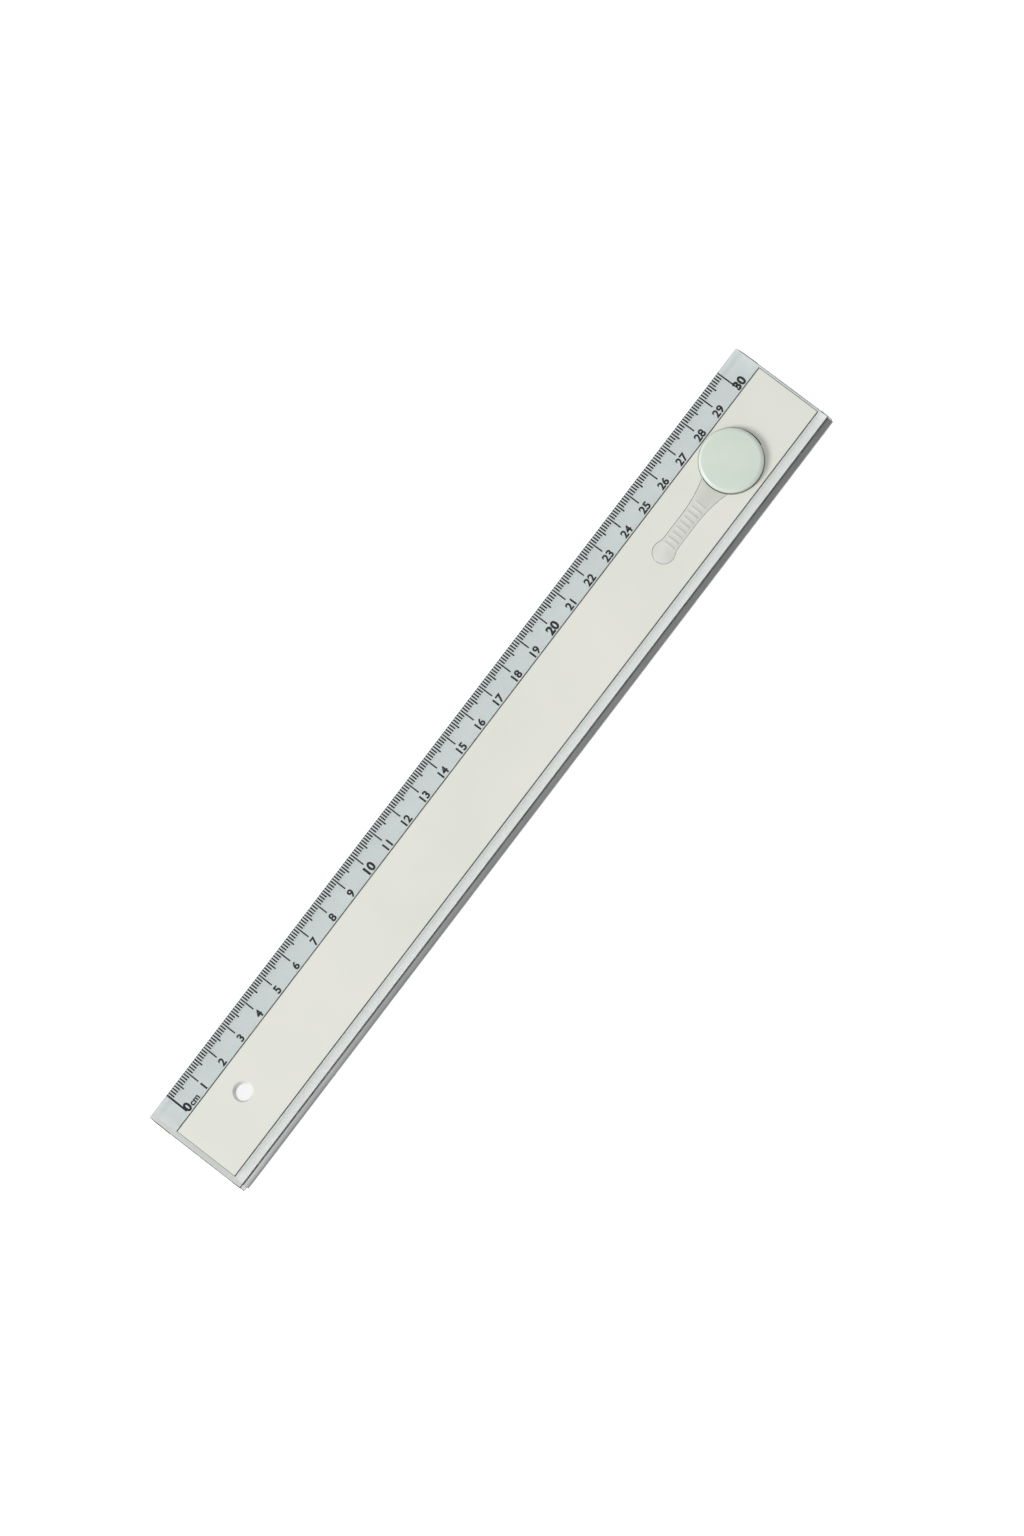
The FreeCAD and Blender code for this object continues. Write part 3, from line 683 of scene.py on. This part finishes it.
waxy, tree, shader, place = finish("waxy white plastic", (0.68, 0.68, 0.66), 0.35)
height, cloud = grained(tree, place, 1500.0, 300.0)
coloured(tree, shader, between(tree, cloud, (0.64, 0.64, 0.61), (0.70, 0.70, 0.68)))
bumped(tree, shader, height, 0.2, 0.01 * mm)
for number_of_pad in range(1, 5):
    name = f"glide_pad_{number_of_pad}"
    softened(f"slip_disc_{number_of_pad}", name, "rail", waxy, 0.05 * mm, 2)


# ---------------------------------------------------------------------------------------------------
# The table, the lights and the camera: a white table top, one broad soft light from the zero end's
# scale side, a bright even surround, and a camera above that leans a little towards the steel edge.

white, tree, shader, place = finish("white table top", (0.80, 0.80, 0.80), 0.9)
shader.inputs["Emission Color"].default_value = (1, 1, 1, 1)
shader.inputs["Emission Strength"].default_value = 0.7
paper = put(tree, "ShaderNodeTexNoise", sockets={"Vector": place, "Scale": 300.0, "Detail": 2.0})
bumped(tree, shader, paper.outputs["Fac"], 0.05, 0.01 * mm)
facing = put(tree, "ShaderNodeNewGeometry").outputs["Backfacing"]
unseen = put(tree, "ShaderNodeBsdfTransparent")
either = put(
    tree, "ShaderNodeMixShader", sockets={0: facing, 1: shader.outputs[0], 2: unseen.outputs[0]}
)
tree.links.new(either.outputs[0], tree.nodes["Material Output"].inputs["Surface"])
reach = 4.0
corners = [(-reach, -reach, 0), (reach, -reach, 0), (reach, reach, 0), (-reach, reach, 0)]
table_mesh = bpy.data.meshes.new("table_top")
table_mesh.from_pydata(corners, [], [(0, 1, 2, 3)])
table_mesh.materials.append(white)
table_top = bpy.data.objects.new("table_top", table_mesh)
bpy.context.scene.collection.objects.link(table_top)

world = bpy.data.worlds.new("studio")
bpy.context.scene.world = world
world.use_nodes = True
tree = world.node_tree
surround = tree.nodes["Background"]
surround.inputs["Color"].default_value = (1, 1, 1, 1)
surround.inputs["Strength"].default_value = 0.65
backdrop = put(tree, "ShaderNodeBackground", sockets={"Color": (1, 1, 1, 1), "Strength": 1.0})
seen_by_camera = put(tree, "ShaderNodeLightPath").outputs["Is Camera Ray"]
shown = put(
    tree,
    "ShaderNodeMixShader",
    sockets={0: seen_by_camera, 1: surround.outputs[0], 2: backdrop.outputs[0]},
)
tree.links.new(shown.outputs[0], tree.nodes["World Output"].inputs["Surface"])

turn = math.radians(52.68)
lean = math.radians(10.0)
view_from = Vector((0, -math.sin(lean), math.cos(lean)))
along_rule = Vector((1, 0, 0))
across_rule = view_from.cross(along_rule)
right = along_rule * math.cos(turn) - across_rule * math.sin(turn)
upward = along_rule * math.sin(turn) + across_rule * math.cos(turn)

softbox = bpy.data.lights.new("softbox", "AREA")
softbox.shape = "DISK"
softbox.size = 2.6
softbox.energy = 258.0
lamp = bpy.data.objects.new("softbox", softbox)
bpy.context.scene.collection.objects.link(lamp)
lamp.location = 6.0 * Vector((-0.65, 0.385, 0.64)).normalized()
lamp.rotation_euler = lamp.location.to_track_quat("Z", "Y").to_euler()

camera_data = bpy.data.cameras.new("camera")
camera_data.sensor_width = 36.0
camera_data.clip_end = 20.0
camera = bpy.data.objects.new("camera", camera_data)
bpy.context.scene.collection.objects.link(camera)
bpy.context.scene.camera = camera
away = 3.0
frame_height = 507.0 * mm
camera_data.lens = camera_data.sensor_width * away / frame_height
aim = Vector((0.7 * mm, 0, 3.5 * mm)) + 6.4 * mm * right
camera.location = aim + away * view_from
camera.rotation_euler = Matrix((right, upward, view_from)).transposed().to_euler()
bpy.context.scene.view_settings.view_transform = "Standard"
